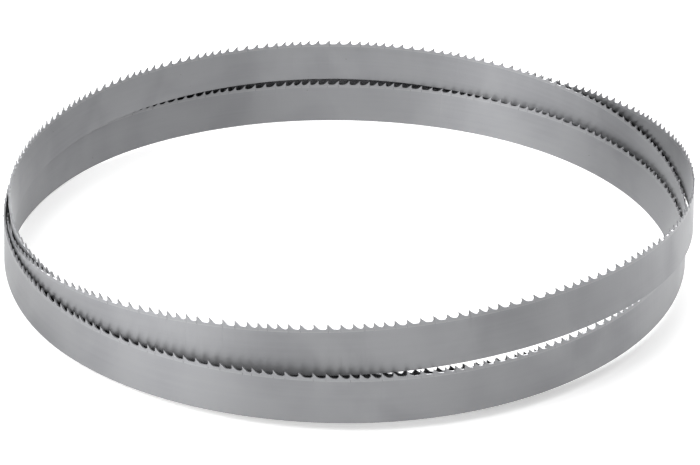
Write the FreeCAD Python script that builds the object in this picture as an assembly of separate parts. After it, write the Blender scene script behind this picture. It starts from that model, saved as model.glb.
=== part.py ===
# Metal-cutting band saw blade, coiled in three turns for storage.
# One steel band, welded end to end, with a toothed upper edge of variable pitch. The coil stands
# on its plain back edge, teeth up. Millimetres, +Z up; the origin is the middle of the coil's base.

import FreeCAD, Part
from FreeCAD import Base
import math
import os

# The band.
BLADE_WIDTH = 34.0  # back edge to tooth tips
BLADE_THICKNESS = 1.1

# The teeth, in groups whose pitch swells and shrinks.
TEETH_PER_GROUP = 9
MEAN_PITCH = 7.8  # tip to tip; the real pitch is the nearest one that closes the band with whole groups
PITCH_SWING = 1.25  # how far the coarsest and finest pitches stand from the mean
GULLET_DEPTH = 3.4
RAKE_ANGLE = 9.0  # degrees that the cutting face leans back under its tip
FACE_DEPTH = 2.3  # height of the straight cutting face, before the gullet's curve
ROOT_REACH = 1.3  # how far ahead of the tip the gullet reaches its full depth
BACK_LENGTH = 3.6  # length of the sloped back behind a tip

# The coil.
COIL_RADIUS = 252.0  # mean radius of the band's middle
TURNS = 3
TURN_GAP = 3.1  # from the middle of one turn's band to the next, where two turns lie side by side
STACK_CLEARANCE = 0.8  # between a turn's tooth tips and the back edge of the turn above

# Where the band runs: eight stations a turn, an eighth of a turn apart, from the right of the coil
# and round by its front, left and back. lift is the back edge's height, as a share of a blade's
# width with its clearance; step is the distance out from the mean radius, in turn gaps; lean is
# the band's tilt out of the upright, its teeth outwards.
STATIONS = [
    # lift, step, lean in degrees
    (1.32, 1.1, -3.0),
    (1.41, 1.9, -9.0),
    (0.96, -0.2, -11.0),
    (0.56, -0.7, -2.0),
    (0.03, -2.3, 2.0),
    (0.01, -1.3, 10.0),
    (0.08, -0.9, 11.0),
    (0.18, -1.3, 9.0),
    (0.15, -1.7, 6.0),
    (0.04, -3.1, 5.0),
    (0.04, -3.3, 5.0),
    (0.39, -3.2, 7.0),
    (0.64, -2.9, 3.0),
    (0.95, -1.0, 2.0),
    (1.06, 2.1, 4.0),
    (0.90, 2.0, 3.0),
    (0.51, 0.3, -2.0),
    (0.25, 0.4, -6.0),
    (0.14, 3.2, -6.0),
    (0.06, 1.3, -6.0),
    (0.28, -1.2, 0.0),
    (0.36, 1.1, 6.0),
    (0.53, 3.4, 10.0),
    (0.93, 3.2, 6.0),
]

PATH_STEPS = 720  # straight steps that measure the band's length


def smooth_value(column, turns):
    """One column of the stations, as a smooth closed curve of the turns gone round."""
    count = len(STATIONS)
    place = turns / TURNS * count
    first = math.floor(place)
    share = place - first
    before, here, after, beyond = (STATIONS[(first + k) % count][column] for k in (-1, 0, 1, 2))
    leaving = (after - before) / 2
    arriving = (beyond - here) / 2
    return (
        (2 * share**3 - 3 * share**2 + 1) * here
        + (share**3 - 2 * share**2 + share) * leaving
        + (3 * share**2 - 2 * share**3) * after
        + (share**3 - share**2) * arriving
    )


def band_point(turns, height):
    """The band's middle at so many turns, at a height above its back edge."""
    lean = math.tan(math.radians(smooth_value(2, turns)))
    radius = COIL_RADIUS + TURN_GAP * smooth_value(1, turns) + height * lean
    lift = (BLADE_WIDTH + STACK_CLEARANCE) * smooth_value(0, turns)
    angle = -2 * math.pi * turns  # clockwise from above, the way the teeth point
    return FreeCAD.Vector(radius * math.cos(angle), radius * math.sin(angle), lift + height)


def outward(turns, height):
    """The level direction square to the band."""
    step = 0.5 / PATH_STEPS
    along = band_point(turns + step, height) - band_point(turns - step, height)
    return FreeCAD.Vector(-along.y, along.x, 0).normalize()


def even_turns(count):
    """Turns gone round at so many equal lengths along the back edge, and the whole length."""
    marks = [TURNS * i / PATH_STEPS for i in range(PATH_STEPS + 1)]
    points = [band_point(mark, 0) for mark in marks]
    lengths = [0.0]
    for one, other in zip(points, points[1:]):
        lengths.append(lengths[-1] + one.distanceToPoint(other))
    whole = lengths[-1]
    found = []
    i = 0
    for k in range(count):
        wanted = whole * k / count
        while lengths[i + 1] <= wanted:
            i += 1
        share = (wanted - lengths[i]) / (lengths[i + 1] - lengths[i])
        found.append(marks[i] + share * (marks[i + 1] - marks[i]))
    return found, whole


def edge_curve(stops, height, side):
    """A closed curve along the band at a height, on its outer face (side 1) or its inner one (-1)."""
    points = [
        band_point(turns, height) + outward(turns, height) * (side * BLADE_THICKNESS / 2)
        for turns in stops
    ]
    curve = Part.BSplineCurve()
    count = len(points)
    curve.interpolate(points, PeriodicFlag=True, Parameters=[i / count for i in range(count + 1)])
    return curve


def group_outline(length):
    """The toothed edge of one group, as places along it and heights, from root to root."""
    root_height = BLADE_WIDTH - GULLET_DEPTH
    undercut = FACE_DEPTH * math.tan(math.radians(RAKE_ANGLE))
    scale = length / (TEETH_PER_GROUP * MEAN_PITCH)
    outline = [(0.0, root_height)]
    start = 0.0
    for tooth in range(TEETH_PER_GROUP):
        swell = math.cos(2 * math.pi * tooth / TEETH_PER_GROUP)
        end = start + (MEAN_PITCH + PITCH_SWING * swell) * scale
        tip = end - ROOT_REACH
        outline += [
            (tip - BACK_LENGTH, root_height),
            (tip, BLADE_WIDTH),
            (tip - undercut, BLADE_WIDTH - FACE_DEPTH),
            (end, root_height),
        ]
        start = end
    return outline


def group_faces(group, count, length, curves):
    """The faces of one group: its two walls, its back edge and the flanks of its teeth."""
    start, end = group / count, (group + 1) / count
    outline = [
        (start + place / length * (end - start), height / BLADE_WIDTH)
        for place, height in group_outline(length)
    ]
    faces = []
    rims = []
    for low, high in curves:
        wall = Part.makeRuledSurface(low.toShape(start, end), high.toShape(start, end)).Surface
        corners = [Base.Vector2d(*place) for place in [(end, 0.0), (start, 0.0)] + outline]
        edges = [
            Part.Geom2d.Line2dSegment(one, other).toShape(wall)
            for one, other in zip(corners, corners[1:] + corners[:1])
        ]
        faces.append(Part.Face(wall, Part.Wire(edges)))
        rims.append([edges[0]] + edges[2:-1])
    for inner, outer in zip(*rims):
        faces.append(Part.makeRuledSurface(inner, outer))
    return faces


def saw_blade():
    """The whole band, as one closed solid."""
    length = even_turns(1)[1]
    count = round(length / (TEETH_PER_GROUP * MEAN_PITCH))
    stops = even_turns(count)[0]
    curves = [[edge_curve(stops, height, side) for height in (0.0, BLADE_WIDTH)] for side in (-1, 1)]
    faces = []
    for group in range(count):
        faces += group_faces(group, count, length / count, curves)
    band = Part.Compound(faces)
    band.sewShape()
    return Part.Solid(band.Shells[0])


def on_its_base(shape):
    """The shape with the middle of its base at the origin."""
    box = shape.BoundBox
    shape.translate(FreeCAD.Vector(-box.Center.x, -box.Center.y, -box.ZMin))
    return shape


blade = on_its_base(saw_blade())
os.makedirs("parts", exist_ok=True)
blade.exportStep("parts/saw_blade.step")
box = blade.BoundBox
print("closed solid", blade.isValid() and blade.isClosed(), "with", len(blade.Faces), "faces")
print("volume", round(blade.Volume), "mm3, size", round(box.XLength), round(box.YLength), round(box.ZLength))
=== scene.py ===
# Coiled band saw blade: the steel band with its set teeth, and a plain studio around it.
# Metres, +Z up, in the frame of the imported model. Run as a script; laid out as an add-on.

import math

import bpy
from mathutils import Matrix, Vector


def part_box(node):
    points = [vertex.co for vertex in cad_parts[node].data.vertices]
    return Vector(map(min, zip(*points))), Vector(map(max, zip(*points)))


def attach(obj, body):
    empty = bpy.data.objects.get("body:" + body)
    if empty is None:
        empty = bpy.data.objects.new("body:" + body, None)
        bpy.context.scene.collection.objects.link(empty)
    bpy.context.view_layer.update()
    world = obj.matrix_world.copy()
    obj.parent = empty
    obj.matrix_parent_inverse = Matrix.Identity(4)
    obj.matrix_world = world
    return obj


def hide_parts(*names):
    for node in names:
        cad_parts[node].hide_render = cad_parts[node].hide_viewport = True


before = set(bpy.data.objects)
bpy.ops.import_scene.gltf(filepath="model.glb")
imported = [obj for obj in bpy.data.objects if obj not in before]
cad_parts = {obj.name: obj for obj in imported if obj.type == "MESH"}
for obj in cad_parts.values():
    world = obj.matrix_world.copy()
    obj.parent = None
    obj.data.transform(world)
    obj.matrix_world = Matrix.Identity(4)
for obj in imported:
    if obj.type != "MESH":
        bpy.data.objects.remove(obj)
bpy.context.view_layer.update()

bl_info = {
    "name": "Coiled band saw blade",
    "version": (1, 0, 0),
    "blender": (4, 5, 0),
    "location": "View3D > Sidebar > Saw blade",
    "description": "Models a toothed steel band coiled in three turns, and a plain studio",
    "category": "Object",
}

# The coil's route, as in the part's own source: eight stations a turn, from the right and round by
# the front, left and back. Each has the back edge's height, as a share of a blade's width with its
# clearance; the distance out from the mean radius, in turn gaps; and the lean, in degrees.
TURNS = 3
STATIONS = [
    (1.32, 1.1, -3.0),
    (1.41, 1.9, -9.0),
    (0.96, -0.2, -11.0),
    (0.56, -0.7, -2.0),
    (0.03, -2.3, 2.0),
    (0.01, -1.3, 10.0),
    (0.08, -0.9, 11.0),
    (0.18, -1.3, 9.0),
    (0.15, -1.7, 6.0),
    (0.04, -3.1, 5.0),
    (0.04, -3.3, 5.0),
    (0.39, -3.2, 7.0),
    (0.64, -2.9, 3.0),
    (0.95, -1.0, 2.0),
    (1.06, 2.1, 4.0),
    (0.90, 2.0, 3.0),
    (0.51, 0.3, -2.0),
    (0.25, 0.4, -6.0),
    (0.14, 3.2, -6.0),
    (0.06, 1.3, -6.0),
    (0.28, -1.2, 0.0),
    (0.36, 1.1, 6.0),
    (0.53, 3.4, 10.0),
    (0.93, 3.2, 6.0),
]
LIFT, STEP, LEAN = range(3)
ROUTE_STEPS = 1080  # points on the curve that the flat band is laid along
WELD_TURNS = 2.78  # the band's two ends meet here, at the back of the outer turn
BAND_MAP = "band"  # the UV map, in metres along and across the band
SEAM_WIDTH = 0.0006  # the bright seam between the band and its hard edge strip
SAME_PLACE = 1e-6  # metres within which two places are one
JOIN_REACH = 1e-5  # the same between two groups of teeth
WELD_REACH = 4e-5  # and between the band's two ends
QUARTER_TURN = 0.25  # as a share of a whole one
SHARP_ANGLE = math.radians(28)  # edges that turn by more than this stay sharp

# The material slots. A cut edge takes the slot after the one of its face.
FACE_SLOT, BACK_SLOT, STRIP_SLOT, FLANK_SLOT = range(4)

FLOOR_SIZE = 12
LAMP_DISTANCE = 2.2

# The studio's soft panels: name, azimuth anticlockwise from the right, elevation and half width in
# degrees, and level.
PANELS = (
    ("back_panel", 88, 14, 34, 7.5),
    ("right_panel", 40, 14, 34, 0.7),
    ("left_panel", 204, 14, 42, 2.0),
    ("front_panel", 278, 14, 42, 0.9),
    ("ceiling", 90, 90, 75, 0.60),
)


class SawBladeSizes(bpy.types.PropertyGroup):
    """The band, its teeth and its coil"""

    width: bpy.props.FloatProperty(
        name="Band width",
        description="Back edge to tooth tips",
        default=0.034,
        unit="LENGTH",
        precision=4,
    )
    thickness: bpy.props.FloatProperty(
        name="Thickness",
        description="Thickness of the band",
        default=0.0011,
        unit="LENGTH",
        precision=4,
    )
    teeth_per_group: bpy.props.IntProperty(
        name="Teeth in a group", description="Teeth over which the pitch swells and shrinks", default=9
    )
    mean_pitch: bpy.props.FloatProperty(
        name="Mean pitch", description="Tip to tip", default=0.0078, unit="LENGTH", precision=5
    )
    pitch_swing: bpy.props.FloatProperty(
        name="Pitch swing",
        description="How far the coarsest and finest pitches stand from the mean",
        default=0.00125,
        unit="LENGTH",
        precision=5,
    )
    gullet_depth: bpy.props.FloatProperty(
        name="Gullet depth",
        description="Tooth tip to gullet root",
        default=0.0034,
        unit="LENGTH",
        precision=4,
    )
    rake: bpy.props.FloatProperty(
        name="Rake",
        description="How far the cutting face leans back under its tip",
        default=math.radians(9),
        subtype="ANGLE",
    )
    back_length: bpy.props.FloatProperty(
        name="Tooth back",
        description="Length of the sloped back behind a tip",
        default=0.0036,
        unit="LENGTH",
        precision=4,
    )
    root_reach: bpy.props.FloatProperty(
        name="Root reach",
        description="How far ahead of the tip the gullet is at its full depth",
        default=0.0013,
        unit="LENGTH",
        precision=4,
    )
    gullet_curve: bpy.props.FloatProperty(
        name="Gullet curve",
        description="Length of the curve up to a tooth's back",
        default=0.0013,
        unit="LENGTH",
        precision=4,
    )
    edge_round: bpy.props.FloatProperty(
        name="Back edge round",
        description="Height of the rounded back edge",
        default=0.0003,
        unit="LENGTH",
        precision=4,
    )
    edge_flat: bpy.props.FloatProperty(
        name="Back edge flat", description="Share of the thickness left at the back edge", default=0.5
    )
    set_share: bpy.props.FloatProperty(
        name="Set share", description="Share of a tooth's height, from its tip, that is bent", default=0.62
    )
    set_out: bpy.props.FloatProperty(
        name="Tooth set",
        description="How far a set tooth's tip is bent to its side",
        default=0.00032,
        unit="LENGTH",
        precision=5,
    )
    tooth_strip: bpy.props.FloatProperty(
        name="Tooth strip",
        description="Height of the hard edge strip below the gullets",
        default=0.0019,
        unit="LENGTH",
        precision=4,
    )
    coil_radius: bpy.props.FloatProperty(
        name="Coil radius", description="Mean radius of the coil", default=0.252, unit="LENGTH"
    )
    turn_gap: bpy.props.FloatProperty(
        name="Turn gap",
        description="Between the middles of turns side by side",
        default=0.0031,
        unit="LENGTH",
        precision=4,
    )
    stack_clearance: bpy.props.FloatProperty(
        name="Stack clearance",
        description="Between a turn's tips and the turn above",
        default=0.0008,
        unit="LENGTH",
        precision=4,
    )


class SawBladeLooks(bpy.types.PropertyGroup):
    """Colours of the steel and the studio"""

    steel: bpy.props.FloatVectorProperty(
        name="Rolled steel",
        description="Colour of the band's faces",
        subtype="COLOR",
        default=(0.315, 0.318, 0.328),
    )
    strip: bpy.props.FloatVectorProperty(
        name="Edge strip",
        description="Colour of the hard edge strip",
        subtype="COLOR",
        default=(0.33, 0.333, 0.344),
    )
    ground: bpy.props.FloatVectorProperty(
        name="Ground steel",
        description="Colour of the tooth flanks",
        subtype="COLOR",
        default=(0.48, 0.48, 0.49),
    )
    film: bpy.props.FloatVectorProperty(
        name="Oil film",
        description="Colour of the steel under its film of oil",
        subtype="COLOR",
        default=(0.27, 0.273, 0.287),
    )
    speck: bpy.props.FloatVectorProperty(
        name="Specks", description="Colour of the specks", subtype="COLOR", default=(0.10, 0.09, 0.085)
    )
    # The colour painted as shade deep between close turns.
    oil: bpy.props.FloatVectorProperty(
        name="Painted gap shade",
        description="Colour of the painted gap shade between close turns",
        subtype="COLOR",
        default=(0.015, 0.015, 0.017),
    )
    floor: bpy.props.FloatVectorProperty(
        name="Floor", description="Colour of the floor", subtype="COLOR", default=(0.92, 0.92, 0.92)
    )
    floor_glow: bpy.props.FloatProperty(
        name="Floor glow", description="How far the floor is drawn whiter than it is lit", default=0.4
    )
    surroundings: bpy.props.FloatProperty(
        name="Surroundings", description="Level of the studio between its soft panels", default=0.0
    )


class SawBladeCamera(bpy.types.PropertyGroup):
    """The photograph's camera"""

    distance: bpy.props.FloatProperty(
        name="Distance", description="From the coil's middle", default=1.5805, unit="LENGTH"
    )
    elevation: bpy.props.FloatProperty(
        name="Elevation",
        description="Angle over the floor",
        default=math.radians(25.871),
        subtype="ANGLE",
    )
    aside: bpy.props.FloatProperty(
        name="Aside", description="How far to the right it stands", default=0.0123, unit="LENGTH"
    )
    yaw: bpy.props.FloatProperty(
        name="Yaw", description="Turn to the right", default=math.radians(-0.282), subtype="ANGLE"
    )
    pitch: bpy.props.FloatProperty(
        name="Pitch",
        description="Tilt down past the coil's middle",
        default=math.radians(-0.490),
        subtype="ANGLE",
    )
    roll: bpy.props.FloatProperty(
        name="Roll",
        description="Turn about the line of sight",
        default=math.radians(2.038),
        subtype="ANGLE",
    )
    lens: bpy.props.FloatProperty(
        name="Lens", description="Focal length on a 36 mm sensor", default=108.58, unit="CAMERA"
    )


def route_value(column, turns):
    """One column of the stations, as a smooth closed curve of the turns gone round."""
    count = len(STATIONS)
    place = turns / TURNS * count
    first = math.floor(place)
    share = place - first
    before, here, after, beyond = (STATIONS[(first + k) % count][column] for k in (-1, 0, 1, 2))
    leaving = (after - before) / 2
    arriving = (beyond - here) / 2
    return (
        (2 * share**3 - 3 * share**2 + 1) * here
        + (share**3 - 2 * share**2 + share) * leaving
        + (3 * share**2 - 2 * share**3) * after
        + (share**3 - share**2) * arriving
    )


def route_point(sizes, turns, height=0.0):
    """The band's middle at so many turns, at a height above its back edge."""
    lean = math.tan(math.radians(route_value(LEAN, turns)))
    radius = sizes.coil_radius + sizes.turn_gap * route_value(STEP, turns) + height * lean
    lift = (sizes.width + sizes.stack_clearance) * route_value(LIFT, turns)
    angle = -2 * math.pi * turns
    return Vector((radius * math.cos(angle), radius * math.sin(angle), lift + height))


def route_turns():
    """The places on the route, in turns, at which it is drawn."""
    return [WELD_TURNS + TURNS * k / ROUTE_STEPS for k in range(ROUTE_STEPS)]


def coil_shift(sizes):
    """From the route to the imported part: the middles of their bases are brought together."""
    heights = (0, sizes.width)
    points = [route_point(sizes, turns, height) for turns in route_turns() for height in heights]
    low = Vector([min(point[axis] for point in points) for axis in range(3)])
    high = Vector([max(point[axis] for point in points) for axis in range(3)])
    packed_low, packed_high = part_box("saw_blade")
    shift = (packed_low + packed_high - low - high) / 2
    shift.z = packed_low.z - low.z
    return shift


def deselect_all():
    """Nothing selected, in object mode."""
    if bpy.context.object and bpy.context.object.mode != "OBJECT":
        bpy.ops.object.mode_set(mode="OBJECT")
    bpy.ops.object.select_all(action="DESELECT")


def only(obj):
    """obj selected and active, and nothing else selected."""
    deselect_all()
    obj.select_set(True)
    bpy.context.view_layer.objects.active = obj


def apply_modifier(obj, name):
    only(obj)
    bpy.ops.object.modifier_apply(modifier=name)


def strip_start(sizes):
    """How high up the band its hard edge strip starts."""
    return sizes.width - sizes.gullet_depth - sizes.tooth_strip


def tooth_spans(sizes):
    """Where each tooth of one group starts and ends along the band, from root to root."""
    spans = []
    start = 0.0
    for tooth in range(sizes.teeth_per_group):
        swell = math.cos(2 * math.pi * tooth / sizes.teeth_per_group)
        end = start + sizes.mean_pitch + sizes.pitch_swing * swell
        spans.append((start, end))
        start = end
    return spans


def tooth_outline(sizes):
    """The toothed edge of one group, from root to root, as places, heights and places below.

    Each tooth has a level gullet floor, a curved rise into its back, a tip, a raked cutting face
    and a round root, with heights as shares of the gullet's depth. The place below is where the
    column under a point meets the foot of the edge strip, the same place where none is given.
    """
    root = sizes.width - sizes.gullet_depth
    depth, back = sizes.gullet_depth, sizes.back_length
    reach, curl = sizes.root_reach, sizes.gullet_curve
    rake = math.tan(sizes.rake)
    outline = [(0.0, root, 0.0)]
    for _, end in tooth_spans(sizes):
        tip = end - reach
        foot = tip - back
        shape = [
            (foot - curl, 0.02),
            (foot - 0.2 * curl, 0.09),
            (foot + 0.5 * curl, 0.22),
            (foot + 0.55 * back, 0.57),
            (tip, 1.0, tip - 0.5 * reach),
            (tip - rake * 0.45 * depth, 0.55, tip - 0.3 * reach),
            (tip - rake * 0.55 * depth + 0.05 * reach, 0.34, tip - 0.1 * reach),
            (tip + 0.25 * reach, 0.15),
            (tip + 0.60 * reach, 0.04),
            (end, 0.0),
        ]
        for place, share, *under in shape:
            outline.append((place, root + share * depth, under[0] if under else place))
    return outline


def extrude_edges_down(drop):
    bpy.ops.mesh.extrude_edges_move(TRANSFORM_OT_translate={"value": (0, 0, -drop)})


def flat_group(sizes):
    """One group of teeth and the band below it, as a flat sheet along X, extruded from its outline."""
    outline = tooth_outline(sizes)
    deselect_all()
    bpy.ops.mesh.primitive_plane_add(size=sizes.thickness, location=(0, 0, 0))
    group = bpy.context.object
    bpy.ops.object.mode_set(mode="EDIT")
    bpy.ops.mesh.merge(type="CENTER")
    bpy.ops.transform.translate(value=(0, 0, outline[0][1]))
    for (place, height, _), (further, higher, _) in zip(outline, outline[1:]):
        step = (further - place, 0, higher - height)
        bpy.ops.mesh.extrude_vertices_move(TRANSFORM_OT_translate={"value": step})
    bpy.ops.mesh.select_all(action="SELECT")
    foot = strip_start(sizes)
    extrude_edges_down(sizes.width)
    # The row that was drawn down follows the teeth, so it is made level at the strip's foot.
    bpy.ops.transform.resize(value=(1, 1, 0), center_override=(0, 0, foot))
    bpy.ops.object.mode_set(mode="OBJECT")
    row = [v for v in group.data.vertices if abs(v.co.z - foot) < SAME_PLACE]
    for vertex, (_, _, under) in zip(sorted(row, key=lambda v: v.co.x), sorted(outline)):
        vertex.co.x = under
    bpy.ops.object.mode_set(mode="EDIT")
    extrude_edges_down(foot - sizes.edge_round)
    extrude_edges_down(sizes.edge_round)
    # Extruding leaves the order of the faces to chance, so it is set here, the same on every run.
    bpy.ops.mesh.select_all(action="SELECT")
    bpy.ops.mesh.sort_elements(type="CURSOR_DISTANCE", elements={"VERT", "EDGE", "FACE"})
    bpy.ops.object.mode_set(mode="OBJECT")
    return group


def set_teeth(group, sizes):
    """Bends the tips out by turns: one tooth straight, one to the left, one to the right."""
    hinge = sizes.width - sizes.set_share * sizes.gullet_depth
    for tooth, (start, end) in enumerate(tooth_spans(sizes)):
        side = (0, 1, -1)[tooth % 3]
        for vertex in group.data.vertices:
            if start < vertex.co.x < end and vertex.co.z > hinge:
                vertex.co.y = side * sizes.set_out * (vertex.co.z - hinge) / (sizes.width - hinge)


def lay_flat_map(group):
    """A UV map in metres along and across the band, which the finishes follow."""
    layer = group.data.uv_layers.new(name=BAND_MAP)
    for loop in group.data.loops:
        place = group.data.vertices[loop.vertex_index].co
        layer.data[loop.index].uv = (place.x, place.z)
    for other in [each for each in group.data.uv_layers if each.name != BAND_MAP]:
        group.data.uv_layers.remove(other)


def mark_finishes(group, sizes):
    """Rolled steel on the band, hard steel on the strip and the teeth. Thickening adds the rest."""
    for face in group.data.polygons:
        face.material_index = STRIP_SLOT if face.center.z > strip_start(sizes) else FACE_SLOT


def route_curve(sizes):
    """A closed curve along the band's back edge, tilted as the band leans."""
    data = bpy.data.curves.new("route", "CURVE")
    data.dimensions = "3D"
    data.twist_mode = "Z_UP"
    spline = data.splines.new("POLY")
    spline.points.add(ROUTE_STEPS - 1)
    for point, turns in zip(spline.points, route_turns()):
        point.co = (*route_point(sizes, turns), 1)
        point.tilt = -math.radians(route_value(LEAN, turns))
    spline.use_cyclic_u = True
    route = bpy.data.objects.new("route", data)
    bpy.context.scene.collection.objects.link(route)
    return route, spline.calc_length()


def repeat_groups(group, group_length, length):
    """The groups of teeth one after the other, stretched to end just where the route closes."""
    count = round(length / group_length)
    array = group.modifiers.new("groups", "ARRAY")
    array.count = count
    array.use_relative_offset = False
    array.use_constant_offset = True
    array.constant_offset_displace = (group_length, 0, 0)
    array.use_merge_vertices = True
    array.merge_threshold = JOIN_REACH
    array.offset_u = group_length
    apply_modifier(group, array.name)
    group.scale.x = length / (count * group_length)
    only(group)
    bpy.ops.object.transform_apply(location=False, rotation=False, scale=True)


def coil_up(band, route):
    """The flat band laid along its route, and its two ends welded."""
    bend = band.modifiers.new("coil", "CURVE")
    bend.object = route
    bend.deform_axis = "POS_X"
    apply_modifier(band, bend.name)
    bpy.data.objects.remove(route)
    bpy.ops.object.mode_set(mode="EDIT")
    bpy.ops.mesh.select_all(action="SELECT")
    bpy.ops.mesh.remove_doubles(threshold=WELD_REACH)
    bpy.ops.object.mode_set(mode="OBJECT")


def thicken(band, sizes):
    """The sheet given its thickness, thinner at the rounded back edge."""
    layer = band.data.uv_layers.active.data
    loops = band.data.loops
    low = {loops[i].vertex_index for i, corner in enumerate(layer) if corner.uv.y < SAME_PLACE}
    full = band.vertex_groups.new(name="full_thickness")
    full.add([v.index for v in band.data.vertices if v.index not in low], 1.0, "REPLACE")
    full.add(list(low), sizes.edge_flat, "REPLACE")
    wall = band.modifiers.new("thickness", "SOLIDIFY")
    wall.thickness = sizes.thickness
    wall.offset = 0
    wall.vertex_group = full.name
    wall.material_offset_rim = BACK_SLOT - FACE_SLOT
    apply_modifier(band, wall.name)
    band.vertex_groups.clear()


class SAWBLADE_OT_blade(bpy.types.Operator):
    """Model the toothed band flat, one group of teeth at a time, and coil it"""

    bl_idname = "sawblade.blade"
    bl_label = "Blade"

    def execute(self, context):
        sizes = context.scene.saw_blade_sizes
        looks = context.scene.saw_blade_looks
        band = flat_group(sizes)
        band.name = "toothed_band"
        set_teeth(band, sizes)
        lay_flat_map(band)
        mark_finishes(band, sizes)
        route, length = route_curve(sizes)
        repeat_groups(band, tooth_spans(sizes)[-1][1], length)
        coil_up(band, route)
        thicken(band, sizes)
        band.location = coil_shift(sizes)
        only(band)
        bpy.ops.object.transform_apply(location=True, rotation=False, scale=False)
        # The last group paints shade into the steel's colour where turns lie close.
        grain, marks, gap_shade_group = rolling_grain(), handling_marks(), painted_gap_shade()
        finishes = {
            FACE_SLOT: rolled_steel(looks, grain, marks, gap_shade_group),
            BACK_SLOT: back_edge(looks, marks),
            STRIP_SLOT: edge_strip(sizes, looks, grain, marks, gap_shade_group),
            FLANK_SLOT: ground_flank(looks, grain),
        }
        for slot in sorted(finishes):
            band.data.materials.append(finishes[slot])
        bpy.ops.object.shade_smooth_by_angle(angle=SHARP_ANGLE)
        normals = band.modifiers.new("even_normals", "WEIGHTED_NORMAL")
        normals.weight = 90
        normals.keep_sharp = True
        apply_modifier(band, normals.name)
        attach(band, "root")
        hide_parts("saw_blade")
        return {"FINISHED"}


def add_node(tree, kind, inputs=None, **settings):
    """A node with its settings, and with its inputs set, or linked where a socket is given."""
    node = tree.nodes.new(kind)
    for name, value in settings.items():
        setattr(node, name, value)
    for name, value in (inputs or {}).items():
        if isinstance(value, bpy.types.NodeSocket):
            tree.links.new(value, node.inputs[name])
        else:
            node.inputs[name].default_value = value
    return node


def math_node(tree, operation, *values):
    return add_node(tree, "ShaderNodeMath", dict(enumerate(values)), operation=operation).outputs[0]


def span(tree, value, low, high, to_low=0.0, to_high=1.0):
    """A value spread smoothly from one range to another."""
    ends = {"From Min": low, "From Max": high, "To Min": to_low, "To Max": to_high}
    spread = add_node(
        tree, "ShaderNodeMapRange", {"Value": value, **ends}, interpolation_type="SMOOTHSTEP"
    )
    return spread.outputs["Result"]


def blend_colours(tree, share, first, second):
    """The first colour where the share is 0, the second where it is 1."""
    mix = add_node(tree, "ShaderNodeMix", data_type="RGBA")
    colours = [socket for socket in mix.inputs if socket.type == "RGBA"]
    for socket, value in ((mix.inputs["Factor"], share), (colours[0], first), (colours[1], second)):
        if isinstance(value, bpy.types.NodeSocket):
            tree.links.new(value, socket)
        else:
            socket.default_value = value
    return next(socket for socket in mix.outputs if socket.type == "RGBA")


def new_group(name, inputs, outputs):
    """A shader node group with named float inputs, with their defaults, and named float outputs."""
    tree = bpy.data.node_groups.new(name, "ShaderNodeTree")
    for label, value in inputs.items():
        socket = tree.interface.new_socket(label, in_out="INPUT", socket_type="NodeSocketFloat")
        socket.default_value = value
    for label in outputs:
        tree.interface.new_socket(label, in_out="OUTPUT", socket_type="NodeSocketFloat")
    given = tree.nodes.new("NodeGroupInput").outputs
    made = tree.nodes.new("NodeGroupOutput").inputs
    return tree, given, made


def place_group(tree, group, **values):
    """A group placed in a material with its own values, as its outputs."""
    node = add_node(tree, "ShaderNodeGroup", node_tree=group)
    for label, value in values.items():
        node.inputs[label].default_value = value
    return node.outputs


def rolling_grain():
    """Streaks along the band, from its rolling and polishing, by their length and width in metres."""
    inputs = {"Length": 0.03, "Width": 0.0004, "Detail": 4.0}
    tree, given, made = new_group("rolling_grain", inputs, ("Streaks",))
    place = add_node(tree, "ShaderNodeUVMap", uv_map=BAND_MAP).outputs["UV"]
    parts = add_node(tree, "ShaderNodeSeparateXYZ", {"Vector": place}).outputs
    along = math_node(tree, "DIVIDE", parts["X"], given["Length"])
    across = math_node(tree, "DIVIDE", parts["Y"], given["Width"])
    spot = add_node(tree, "ShaderNodeCombineXYZ", {"X": along, "Y": across}).outputs["Vector"]
    noise = add_node(
        tree,
        "ShaderNodeTexNoise",
        {"Vector": spot, "Scale": 1.0, "Detail": given["Detail"], "Roughness": 0.6},
    )
    tree.links.new(span(tree, noise.outputs["Fac"], 0.28, 0.72), made["Streaks"])
    return tree


def handling_marks():
    """An uneven film of oil, and a few specks, by their sizes in metres."""
    inputs = {"Cloud size": 0.06, "Speck size": 0.008, "Speck share": 0.10}
    tree, given, made = new_group("handling_marks", inputs, ("Film", "Specks"))
    place = add_node(tree, "ShaderNodeTexCoord").outputs["Object"]
    cloud_scale = math_node(tree, "DIVIDE", 1.0, given["Cloud size"])
    clouds = add_node(
        tree,
        "ShaderNodeTexNoise",
        {"Vector": place, "Scale": cloud_scale, "Detail": 3.0, "Distortion": 0.4},
    )
    tree.links.new(span(tree, clouds.outputs["Fac"], 0.36, 0.68), made["Film"])
    cell_scale = math_node(tree, "DIVIDE", 1.0, given["Speck size"])
    cells = add_node(tree, "ShaderNodeTexVoronoi", {"Vector": place, "Scale": cell_scale})
    chance = add_node(tree, "ShaderNodeSeparateColor", {"Color": cells.outputs["Color"]}).outputs
    chosen = math_node(tree, "LESS_THAN", chance["Red"], given["Speck share"])
    reach = span(tree, chance["Green"], 0.0, 1.0, 0.02, 0.06)
    near = math_node(tree, "LESS_THAN", cells.outputs["Distance"], reach)
    tree.links.new(math_node(tree, "MULTIPLY", chosen, near), made["Specks"])
    return tree


def painted_gap_shade():
    """Painted shade where two turns lie close together, from ambient occlusion: 1 in the open, 0 deep in a
    gap.
    """
    inputs = {"Reach": 0.03, "Dark below": 0.28, "Clean above": 0.37}
    tree, given, made = new_group("painted_gap_shade", inputs, ("Unshaded",))
    # Ambient occlusion darkens the steel's colour here: this is painted shade between the turns.
    room = add_node(tree, "ShaderNodeAmbientOcclusion", {"Distance": given["Reach"]}, samples=8)
    unshaded = span(tree, room.outputs["AO"], given["Dark below"], given["Clean above"])
    tree.links.new(unshaded, made["Unshaded"])
    return tree


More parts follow.
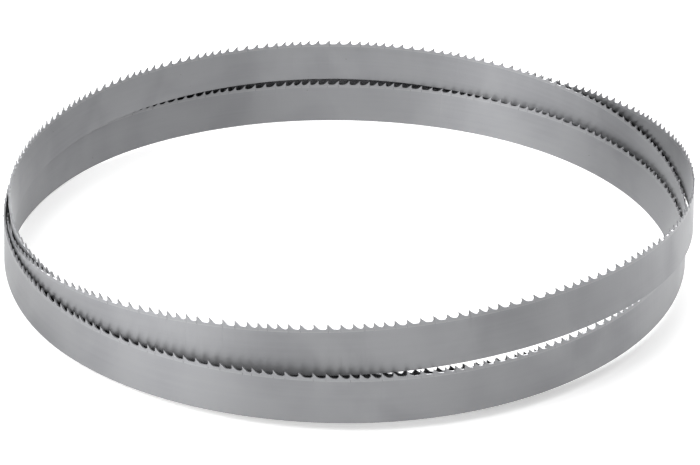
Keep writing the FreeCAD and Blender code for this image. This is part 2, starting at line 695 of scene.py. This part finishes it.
def new_material(name, grained=0.0):
    """A metal, as its material, tree and shader. Grain along the band spreads gloss across it."""
    material = bpy.data.materials.new(name)
    material.use_nodes = True
    shader = material.node_tree.nodes["Principled BSDF"]
    shader.inputs["Metallic"].default_value = 1.0
    shader.inputs["Anisotropic"].default_value = grained
    shader.inputs["Anisotropic Rotation"].default_value = QUARTER_TURN
    return material, material.node_tree, shader


def finish_steel(tree, shader, colour, roughness, height, depth):
    """Links a colour and a roughness to a shader, and a height that is so many metres deep."""
    bump = add_node(tree, "ShaderNodeBump", {"Height": height, "Distance": depth, "Strength": 1.0})
    tree.links.new(colour, shader.inputs["Base Color"])
    tree.links.new(roughness, shader.inputs["Roughness"])
    tree.links.new(bump.outputs["Normal"], shader.inputs["Normal"])


def opaque(colour):
    return (*colour, 1)


def rolled_steel(looks, grain, marks, gap_shade_group):
    """The band's two faces: satin grey, with long streaks, an uneven film, a few specks and painted shade
    between close turns.
    """
    material, tree, shader = new_material("rolled_steel", grained=0.78)
    broad = place_group(tree, grain, Length=0.24, Width=0.0030, Detail=3.0)["Streaks"]
    fine = place_group(tree, grain, Length=0.018, Width=0.00016, Detail=4.0)["Streaks"]
    worn = place_group(tree, marks)
    film = math_node(tree, "MULTIPLY", worn["Film"], 0.55)
    colour = blend_colours(tree, film, opaque(looks.steel), opaque(looks.film))
    streaked = math_node(tree, "MULTIPLY", broad, 0.35)
    colour = blend_colours(tree, streaked, colour, opaque(looks.strip))
    speck = math_node(tree, "MULTIPLY", worn["Specks"], 0.5)
    colour = blend_colours(tree, speck, colour, opaque(looks.speck))
    # Painted shade: the colour darkens towards near black where two turns lie close.
    unshaded = place_group(tree, gap_shade_group)["Unshaded"]
    colour = blend_colours(tree, unshaded, opaque(looks.oil), colour)
    shade = math_node(tree, "ADD", math_node(tree, "MULTIPLY", fine, 0.5), worn["Film"])
    roughness = span(tree, shade, 0.0, 1.5, 0.43, 0.50)
    finish_steel(tree, shader, colour, roughness, fine, 0.000004)
    return material


def back_edge(looks, marks):
    """The plain edge that the coil stands on: dressed round, brighter than the faces."""
    material, tree, shader = new_material("back_edge")
    worn = place_group(tree, marks, **{"Cloud size": 0.02})
    colour = blend_colours(tree, worn["Film"], opaque(looks.ground), opaque(looks.steel))
    roughness = span(tree, worn["Film"], 0.0, 1.0, 0.30, 0.42)
    finish_steel(tree, shader, colour, roughness, worn["Specks"], -0.00001)
    return material


def edge_strip(sizes, looks, grain, marks, gap_shade_group):
    """The hard strip welded along the toothed edge, with its teeth: a little lighter and smoother, with
    painted shade between close turns.
    """
    material, tree, shader = new_material("edge_strip", grained=0.7)
    fine = place_group(tree, grain, Length=0.012, Width=0.00014, Detail=4.0)["Streaks"]
    worn = place_group(tree, marks, **{"Cloud size": 0.03})
    foot = strip_start(sizes)
    place = add_node(tree, "ShaderNodeUVMap", uv_map=BAND_MAP).outputs["UV"]
    height = add_node(tree, "ShaderNodeSeparateXYZ", {"Vector": place}).outputs["Y"]
    seam = span(tree, height, foot, foot + SEAM_WIDTH, 0.4, 0.0)
    film = math_node(tree, "MULTIPLY", worn["Film"], 0.4)
    colour = blend_colours(tree, film, opaque(looks.strip), opaque(looks.steel))
    colour = blend_colours(tree, seam, colour, opaque(looks.ground))
    # Painted shade: the strip and its gullets darken where two turns lie close.
    unshaded = place_group(tree, gap_shade_group, **{"Clean above": 0.35})["Unshaded"]
    colour = blend_colours(tree, unshaded, opaque(looks.oil), colour)
    roughness = span(tree, fine, 0.0, 1.0, 0.40, 0.48)
    finish_steel(tree, shader, colour, roughness, fine, 0.000003)
    return material


def ground_flank(looks, grain):
    """The ground flanks of the teeth and their gullets, with fine lines across the band."""
    material, tree, shader = new_material("ground_flank")
    lines = place_group(tree, grain, Length=0.00012, Width=0.00012, Detail=2.0)["Streaks"]
    colour = blend_colours(tree, lines, opaque(looks.ground), opaque(looks.strip))
    roughness = span(tree, lines, 0.0, 1.0, 0.26, 0.38)
    finish_steel(tree, shader, colour, roughness, lines, 0.000005)
    return material


class SAWBLADE_OT_studio(bpy.types.Operator):
    """Add the plain floor, the soft lights, the studio's surroundings and the camera"""

    bl_idname = "sawblade.studio"
    bl_label = "Studio"

    def execute(self, context):
        looks = context.scene.saw_blade_looks
        deselect_all()
        bpy.ops.mesh.primitive_plane_add(size=FLOOR_SIZE, location=(0, 0, 0))
        floor = bpy.context.object
        floor.name = "floor"
        floor.data.materials.append(pale_floor(looks))
        surroundings(looks)
        photo_camera(context.scene.saw_blade_camera, coil_shift(context.scene.saw_blade_sizes))
        soft_light("key_softbox", azimuth=218, elevation=50, size=1.2, power=14.5)
        soft_light("right_softbox", azimuth=5, elevation=48, size=1.3, power=7)
        soft_light("back_softbox", azimuth=110, elevation=45, size=1.4, power=12)
        return {"FINISHED"}


def pale_floor(looks):
    """A plain matt floor. Its glow only shows to the camera and in reflections, and lights nothing."""
    material = bpy.data.materials.new("pale_floor")
    material.use_nodes = True
    material.cycles.emission_sampling = "NONE"
    tree = material.node_tree
    shader = tree.nodes["Principled BSDF"]
    shader.inputs["Base Color"].default_value = opaque(looks.floor)
    shader.inputs["Roughness"].default_value = 0.9
    shader.inputs["Specular IOR Level"].default_value = 0.1
    shader.inputs["Emission Color"].default_value = (1, 1, 1, 1)
    ray = add_node(tree, "ShaderNodeLightPath").outputs
    seen = math_node(tree, "MAXIMUM", ray["Is Camera Ray"], ray["Is Glossy Ray"])
    seen = math_node(tree, "MAXIMUM", seen, ray["Is Transmission Ray"])
    glow = math_node(tree, "MULTIPLY", seen, looks.floor_glow)
    tree.links.new(glow, shader.inputs["Emission Strength"])
    return material


def direction(azimuth, elevation):
    """A direction anticlockwise from the right, seen from above, and up from level."""
    across, up = math.radians(azimuth), math.radians(elevation)
    return Vector((math.cos(across) * math.cos(up), math.sin(across) * math.cos(up), math.sin(up)))


def surroundings(looks):
    """A studio with a few large soft panels round the object."""
    world = bpy.data.worlds.new("studio_surroundings")
    bpy.context.scene.world = world
    world.use_nodes = True
    tree = world.node_tree
    facing = add_node(tree, "ShaderNodeTexCoord").outputs["Generated"]
    level = looks.surroundings
    for name, azimuth, elevation, spread, strength in PANELS:
        inputs = {0: facing, 1: direction(azimuth, elevation)}
        near = add_node(tree, "ShaderNodeVectorMath", inputs, operation="DOT_PRODUCT", label=name)
        glow = span(tree, near.outputs["Value"], math.cos(math.radians(spread)), 1.0, 0.0, strength)
        level = math_node(tree, "ADD", glow, level)
    tree.links.new(level, tree.nodes["Background"].inputs["Strength"])
    tree.nodes["Background"].inputs["Color"].default_value = (1, 1, 1, 1)


def soft_light(name, azimuth, elevation, size, power):
    """A square soft light that faces the coil."""
    data = bpy.data.lights.new(name, "AREA")
    data.size = size
    data.energy = power
    light = bpy.data.objects.new(name, data)
    bpy.context.scene.collection.objects.link(light)
    light.location = direction(azimuth, elevation) * LAMP_DISTANCE
    light.rotation_euler = (-light.location).to_track_quat("-Z", "Y").to_euler()


def photo_camera(view, shift):
    """The photograph's camera, which was placed round the coil before it was centred."""
    data = bpy.data.cameras.new("photo_camera")
    data.sensor_width = 36
    data.lens = view.lens
    data.clip_end = 50
    camera = bpy.data.objects.new("photo_camera", data)
    bpy.context.scene.collection.objects.link(camera)
    bpy.context.scene.camera = camera
    dip = view.elevation + view.pitch
    ahead = Vector(
        (math.sin(view.yaw) * math.cos(dip), math.cos(view.yaw) * math.cos(dip), -math.sin(dip))
    )
    level = ahead.cross(Vector((0, 0, 1))).normalized()
    above = level.cross(ahead)
    across = math.cos(view.roll) * level + math.sin(view.roll) * above
    up = math.cos(view.roll) * above - math.sin(view.roll) * level
    place = Vector(
        (view.aside, -view.distance * math.cos(view.elevation), view.distance * math.sin(view.elevation))
    )
    turn = Matrix((across, up, -ahead)).transposed().to_4x4()
    camera.matrix_world = Matrix.Translation(place + shift) @ turn


class SAWBLADE_PT_panel(bpy.types.Panel):
    """The blade's sizes, looks and operators"""

    bl_label = "Saw blade"
    bl_idname = "SAWBLADE_PT_panel"
    bl_space_type = "VIEW_3D"
    bl_region_type = "UI"
    bl_category = "Saw blade"

    def draw(self, context):
        scene = context.scene
        for group in (scene.saw_blade_sizes, scene.saw_blade_looks, scene.saw_blade_camera):
            for name in group.bl_rna.properties.keys():
                if name not in ("rna_type", "name"):
                    self.layout.prop(group, name)
        for operator in OPERATORS:
            self.layout.operator(operator.bl_idname)


OPERATORS = (SAWBLADE_OT_blade, SAWBLADE_OT_studio)
CLASSES = (SawBladeSizes, SawBladeLooks, SawBladeCamera, *OPERATORS, SAWBLADE_PT_panel)


def register():
    for each in CLASSES:
        bpy.utils.register_class(each)
    bpy.types.Scene.saw_blade_sizes = bpy.props.PointerProperty(type=SawBladeSizes)
    bpy.types.Scene.saw_blade_looks = bpy.props.PointerProperty(type=SawBladeLooks)
    bpy.types.Scene.saw_blade_camera = bpy.props.PointerProperty(type=SawBladeCamera)


def unregister():
    del bpy.types.Scene.saw_blade_camera
    del bpy.types.Scene.saw_blade_looks
    del bpy.types.Scene.saw_blade_sizes
    for each in reversed(CLASSES):
        bpy.utils.unregister_class(each)


def main():
    register()
    bpy.context.scene.view_settings.view_transform = "Standard"
    bpy.ops.sawblade.blade()
    bpy.ops.sawblade.studio()


if __name__ == "__main__":
    main()
